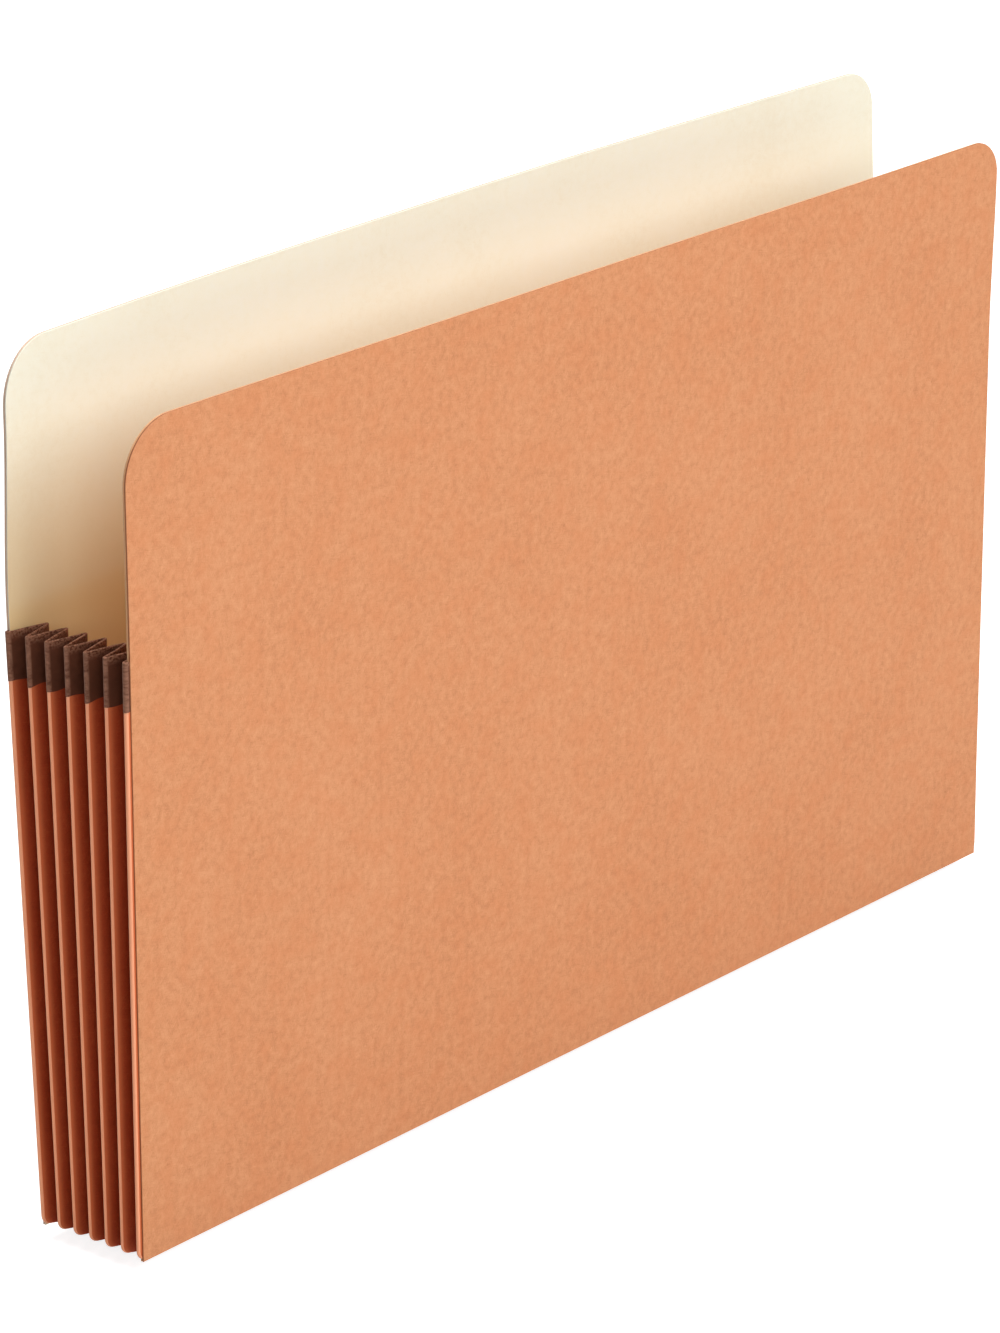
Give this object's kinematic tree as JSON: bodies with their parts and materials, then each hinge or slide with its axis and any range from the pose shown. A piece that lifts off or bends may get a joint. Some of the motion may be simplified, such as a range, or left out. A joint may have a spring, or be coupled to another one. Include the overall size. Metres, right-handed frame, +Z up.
{
  "type": "expanding file pocket",
  "caption": "Open-topped expanding file pocket of kraft board: two lined panels joined by an accordion-pleated gusset with taped top edges.",
  "frame": {"origin": "on the ground under the middle of the pocket's bounding box, at rest", "axes": "+X along the panels, +Y from the front panel to the back panel, +Z up"},
  "size_m": [0.376, 0.0462, 0.2411],
  "materials": {
    "kraft_board": "matt kraft board with fine fibres",
    "cream_lining": "matt cream paper",
    "gusset_paper": "matt red-brown paper, worn paler along its creases",
    "binding_tape": "dark brown woven tape, a part of the side leaves' solids"
  },
  "bodies": {
    "back": {"back_cover": "kraft_board", "back_lining": "cream_lining", "back_flange": "gusset_paper"},
    "front": {"front_cover": "kraft_board", "front_lining": "kraft_board", "front_flange": "gusset_paper"},
    "left_leaf_01": {"left_leaf_01": "gusset_paper"},
    "left_leaf_02": {"left_leaf_02": "gusset_paper"},
    "left_leaf_03": {"left_leaf_03": "gusset_paper"},
    "left_leaf_04": {"left_leaf_04": "gusset_paper"},
    "left_leaf_05": {"left_leaf_05": "gusset_paper"},
    "left_leaf_06": {"left_leaf_06": "gusset_paper"},
    "left_leaf_07": {"left_leaf_07": "gusset_paper"},
    "left_leaf_08": {"left_leaf_08": "gusset_paper"},
    "left_leaf_09": {"left_leaf_09": "gusset_paper"},
    "left_leaf_10": {"left_leaf_10": "gusset_paper"},
    "left_leaf_11": {"left_leaf_11": "gusset_paper"},
    "left_leaf_12": {"left_leaf_12": "gusset_paper"},
    "right_leaf_01": {"right_leaf_01": "gusset_paper"},
    "right_leaf_02": {"right_leaf_02": "gusset_paper"},
    "right_leaf_03": {"right_leaf_03": "gusset_paper"},
    "right_leaf_04": {"right_leaf_04": "gusset_paper"},
    "right_leaf_05": {"right_leaf_05": "gusset_paper"},
    "right_leaf_06": {"right_leaf_06": "gusset_paper"},
    "right_leaf_07": {"right_leaf_07": "gusset_paper"},
    "right_leaf_08": {"right_leaf_08": "gusset_paper"},
    "right_leaf_09": {"right_leaf_09": "gusset_paper"},
    "right_leaf_10": {"right_leaf_10": "gusset_paper"},
    "right_leaf_11": {"right_leaf_11": "gusset_paper"},
    "right_leaf_12": {"right_leaf_12": "gusset_paper"},
    "bottom_leaf_01": {"bottom_leaf_01": "gusset_paper"},
    "bottom_leaf_02": {"bottom_leaf_02": "gusset_paper"},
    "bottom_leaf_03": {"bottom_leaf_03": "gusset_paper"},
    "bottom_leaf_04": {"bottom_leaf_04": "gusset_paper"},
    "bottom_leaf_05": {"bottom_leaf_05": "gusset_paper"},
    "bottom_leaf_06": {"bottom_leaf_06": "gusset_paper"},
    "bottom_leaf_07": {"bottom_leaf_07": "gusset_paper"},
    "bottom_leaf_08": {"bottom_leaf_08": "gusset_paper"},
    "bottom_leaf_09": {"bottom_leaf_09": "gusset_paper"},
    "bottom_leaf_10": {"bottom_leaf_10": "gusset_paper"},
    "bottom_leaf_11": {"bottom_leaf_11": "gusset_paper"},
    "bottom_leaf_12": {"bottom_leaf_12": "gusset_paper"}
  },
  "joints": [
    {"name": "pocket_opening", "type": "hinge", "parent": "back", "child": "left_leaf_01", "pos_m": [-0.18802, 0.01212, 0], "axis": [0, -0.0406, -0.9992], "range_deg": [-12.7, 55.8]},
    {"name": "left_crease_02", "type": "hinge", "parent": "left_leaf_01", "child": "left_leaf_02", "pos_m": [-0.17918, 0.00928, 0], "axis": [-0.0106, -0.0372, -0.9993], "range_deg": [-111.6, 25.4]},
    {"name": "left_crease_03", "type": "hinge", "parent": "left_leaf_02", "child": "left_leaf_03", "pos_m": [-0.18802, 0.00645, 0], "axis": [0, -0.0339, -0.9994], "range_deg": [-25.4, 111.6]},
    {"name": "left_crease_04", "type": "hinge", "parent": "left_leaf_03", "child": "left_leaf_04", "pos_m": [-0.17918, 0.00361, 0], "axis": [-0.0106, -0.0305, -0.9995], "range_deg": [-111.6, 25.4]},
    {"name": "left_crease_05", "type": "hinge", "parent": "left_leaf_04", "child": "left_leaf_05", "pos_m": [-0.18802, 0.00077, 0], "axis": [0, -0.0271, -0.9996], "range_deg": [-25.4, 111.6]},
    {"name": "left_crease_06", "type": "hinge", "parent": "left_leaf_05", "child": "left_leaf_06", "pos_m": [-0.17918, -0.00206, 0], "axis": [-0.0106, -0.0237, -0.9997], "range_deg": [-111.6, 25.4]},
    {"name": "left_crease_07", "type": "hinge", "parent": "left_leaf_06", "child": "left_leaf_07", "pos_m": [-0.18802, -0.0049, 0], "axis": [0, -0.0203, -0.9998], "range_deg": [-25.4, 111.6]},
    {"name": "left_crease_08", "type": "hinge", "parent": "left_leaf_07", "child": "left_leaf_08", "pos_m": [-0.17918, -0.00774, 0], "axis": [-0.0106, -0.0169, -0.9998], "range_deg": [-111.6, 25.4]},
    {"name": "left_crease_09", "type": "hinge", "parent": "left_leaf_08", "child": "left_leaf_09", "pos_m": [-0.18802, -0.01057, 0], "axis": [0, -0.0135, -0.9999], "range_deg": [-25.4, 111.6]},
    {"name": "left_crease_10", "type": "hinge", "parent": "left_leaf_09", "child": "left_leaf_10", "pos_m": [-0.17918, -0.01341, 0], "axis": [-0.0106, -0.0102, -0.9999], "range_deg": [-111.6, 25.4]},
    {"name": "left_crease_11", "type": "hinge", "parent": "left_leaf_10", "child": "left_leaf_11", "pos_m": [-0.18802, -0.01625, 0], "axis": [0, -0.0068, -1], "range_deg": [-25.4, 111.6]},
    {"name": "left_crease_12", "type": "hinge", "parent": "left_leaf_11", "child": "left_leaf_12", "pos_m": [-0.17918, -0.01908, 0], "axis": [-0.0106, -0.0034, -0.9999], "range_deg": [-111.6, 25.4]},
    {"name": "front_crease", "type": "hinge", "parent": "left_leaf_12", "child": "front", "pos_m": [-0.18802, -0.02192, 0], "axis": [0, 0, -1], "range_deg": [-12.7, 55.8]},
    {"name": "right_crease_01", "type": "hinge", "parent": "back", "child": "right_leaf_01", "pos_m": [0.18802, 0.01212, 0], "axis": [0, 0.0406, 0.9992], "range_deg": [-12.7, 55.8]},
    {"name": "right_crease_02", "type": "hinge", "parent": "right_leaf_01", "child": "right_leaf_02", "pos_m": [0.17918, 0.00928, 0], "axis": [-0.0106, 0.0372, 0.9993], "range_deg": [-111.6, 25.4]},
    {"name": "right_crease_03", "type": "hinge", "parent": "right_leaf_02", "child": "right_leaf_03", "pos_m": [0.18802, 0.00645, 0], "axis": [0, 0.0339, 0.9994], "range_deg": [-25.4, 111.6]},
    {"name": "right_crease_04", "type": "hinge", "parent": "right_leaf_03", "child": "right_leaf_04", "pos_m": [0.17918, 0.00361, 0], "axis": [-0.0106, 0.0305, 0.9995], "range_deg": [-111.6, 25.4]},
    {"name": "right_crease_05", "type": "hinge", "parent": "right_leaf_04", "child": "right_leaf_05", "pos_m": [0.18802, 0.00077, 0], "axis": [0, 0.0271, 0.9996], "range_deg": [-25.4, 111.6]},
    {"name": "right_crease_06", "type": "hinge", "parent": "right_leaf_05", "child": "right_leaf_06", "pos_m": [0.17918, -0.00206, 0], "axis": [-0.0106, 0.0237, 0.9997], "range_deg": [-111.6, 25.4]},
    {"name": "right_crease_07", "type": "hinge", "parent": "right_leaf_06", "child": "right_leaf_07", "pos_m": [0.18802, -0.0049, 0], "axis": [0, 0.0203, 0.9998], "range_deg": [-25.4, 111.6]},
    {"name": "right_crease_08", "type": "hinge", "parent": "right_leaf_07", "child": "right_leaf_08", "pos_m": [0.17918, -0.00774, 0], "axis": [-0.0106, 0.0169, 0.9998], "range_deg": [-111.6, 25.4]},
    {"name": "right_crease_09", "type": "hinge", "parent": "right_leaf_08", "child": "right_leaf_09", "pos_m": [0.18802, -0.01057, 0], "axis": [0, 0.0135, 0.9999], "range_deg": [-25.4, 111.6]},
    {"name": "right_crease_10", "type": "hinge", "parent": "right_leaf_09", "child": "right_leaf_10", "pos_m": [0.17918, -0.01341, 0], "axis": [-0.0106, 0.0102, 0.9999], "range_deg": [-111.6, 25.4]},
    {"name": "right_crease_11", "type": "hinge", "parent": "right_leaf_10", "child": "right_leaf_11", "pos_m": [0.18802, -0.01625, 0], "axis": [0, 0.0068, 1], "range_deg": [-25.4, 111.6]},
    {"name": "right_crease_12", "type": "hinge", "parent": "right_leaf_11", "child": "right_leaf_12", "pos_m": [0.17918, -0.01908, 0], "axis": [-0.0106, 0.0034, 0.9999], "range_deg": [-111.6, 25.4]},
    {"name": "bottom_crease_01", "type": "hinge", "parent": "back", "child": "bottom_leaf_01", "pos_m": [0, 0.01212, 0.0006], "axis": [1, 0, 0], "range_deg": [-13.09, 57.5]},
    {"name": "bottom_crease_02", "type": "hinge", "parent": "bottom_leaf_01", "child": "bottom_leaf_02", "pos_m": [0, 0.00928, 0.00944], "axis": [1, 0, 0], "range_deg": [-111.6, 25.4]},
    {"name": "bottom_crease_03", "type": "hinge", "parent": "bottom_leaf_02", "child": "bottom_leaf_03", "pos_m": [0, 0.00645, 0.0006], "axis": [1, 0, 0], "range_deg": [-25.4, 111.6]},
    {"name": "bottom_crease_04", "type": "hinge", "parent": "bottom_leaf_03", "child": "bottom_leaf_04", "pos_m": [0, 0.00361, 0.00944], "axis": [1, 0, 0], "range_deg": [-111.6, 25.4]},
    {"name": "bottom_crease_05", "type": "hinge", "parent": "bottom_leaf_04", "child": "bottom_leaf_05", "pos_m": [0, 0.00077, 0.0006], "axis": [1, 0, 0], "range_deg": [-25.4, 111.6]},
    {"name": "bottom_crease_06", "type": "hinge", "parent": "bottom_leaf_05", "child": "bottom_leaf_06", "pos_m": [0, -0.00206, 0.00944], "axis": [1, 0, 0], "range_deg": [-111.6, 25.4]},
    {"name": "bottom_crease_07", "type": "hinge", "parent": "bottom_leaf_06", "child": "bottom_leaf_07", "pos_m": [0, -0.0049, 0.0006], "axis": [1, 0, 0], "range_deg": [-25.4, 111.6]},
    {"name": "bottom_crease_08", "type": "hinge", "parent": "bottom_leaf_07", "child": "bottom_leaf_08", "pos_m": [0, -0.00774, 0.00944], "axis": [1, 0, 0], "range_deg": [-111.6, 25.4]},
    {"name": "bottom_crease_09", "type": "hinge", "parent": "bottom_leaf_08", "child": "bottom_leaf_09", "pos_m": [0, -0.01057, 0.0006], "axis": [1, 0, 0], "range_deg": [-25.4, 111.6]},
    {"name": "bottom_crease_10", "type": "hinge", "parent": "bottom_leaf_09", "child": "bottom_leaf_10", "pos_m": [0, -0.01341, 0.00944], "axis": [1, 0, 0], "range_deg": [-111.6, 25.4]},
    {"name": "bottom_crease_11", "type": "hinge", "parent": "bottom_leaf_10", "child": "bottom_leaf_11", "pos_m": [0, -0.01625, 0.0006], "axis": [1, 0, 0], "range_deg": [-25.4, 111.6]},
    {"name": "bottom_crease_12", "type": "hinge", "parent": "bottom_leaf_11", "child": "bottom_leaf_12", "pos_m": [0, -0.01908, 0.00944], "axis": [1, 0, 0], "range_deg": [-111.6, 25.4]}
  ],
  "couplings": [
    {"joint": "left_crease_02", "follows": "pocket_opening", "ratio": -2},
    {"joint": "left_crease_03", "follows": "pocket_opening", "ratio": 2},
    {"joint": "left_crease_04", "follows": "pocket_opening", "ratio": -2},
    {"joint": "left_crease_05", "follows": "pocket_opening", "ratio": 2},
    {"joint": "left_crease_06", "follows": "pocket_opening", "ratio": -2},
    {"joint": "left_crease_07", "follows": "pocket_opening", "ratio": 2},
    {"joint": "left_crease_08", "follows": "pocket_opening", "ratio": -2},
    {"joint": "left_crease_09", "follows": "pocket_opening", "ratio": 2},
    {"joint": "left_crease_10", "follows": "pocket_opening", "ratio": -2},
    {"joint": "left_crease_11", "follows": "pocket_opening", "ratio": 2},
    {"joint": "left_crease_12", "follows": "pocket_opening", "ratio": -2},
    {"joint": "front_crease", "follows": "pocket_opening", "ratio": 1},
    {"joint": "right_crease_01", "follows": "pocket_opening", "ratio": 1},
    {"joint": "right_crease_02", "follows": "pocket_opening", "ratio": -2},
    {"joint": "right_crease_03", "follows": "pocket_opening", "ratio": 2},
    {"joint": "right_crease_04", "follows": "pocket_opening", "ratio": -2},
    {"joint": "right_crease_05", "follows": "pocket_opening", "ratio": 2},
    {"joint": "right_crease_06", "follows": "pocket_opening", "ratio": -2},
    {"joint": "right_crease_07", "follows": "pocket_opening", "ratio": 2},
    {"joint": "right_crease_08", "follows": "pocket_opening", "ratio": -2},
    {"joint": "right_crease_09", "follows": "pocket_opening", "ratio": 2},
    {"joint": "right_crease_10", "follows": "pocket_opening", "ratio": -2},
    {"joint": "right_crease_11", "follows": "pocket_opening", "ratio": 2},
    {"joint": "right_crease_12", "follows": "pocket_opening", "ratio": -2},
    {"joint": "bottom_crease_01", "follows": "pocket_opening", "ratio": 1.0304},
    {"joint": "bottom_crease_02", "follows": "pocket_opening", "ratio": -2},
    {"joint": "bottom_crease_03", "follows": "pocket_opening", "ratio": 2},
    {"joint": "bottom_crease_04", "follows": "pocket_opening", "ratio": -2},
    {"joint": "bottom_crease_05", "follows": "pocket_opening", "ratio": 2},
    {"joint": "bottom_crease_06", "follows": "pocket_opening", "ratio": -2},
    {"joint": "bottom_crease_07", "follows": "pocket_opening", "ratio": 2},
    {"joint": "bottom_crease_08", "follows": "pocket_opening", "ratio": -2},
    {"joint": "bottom_crease_09", "follows": "pocket_opening", "ratio": 2},
    {"joint": "bottom_crease_10", "follows": "pocket_opening", "ratio": -2},
    {"joint": "bottom_crease_11", "follows": "pocket_opening", "ratio": 2},
    {"joint": "bottom_crease_12", "follows": "pocket_opening", "ratio": -2}
  ]
}
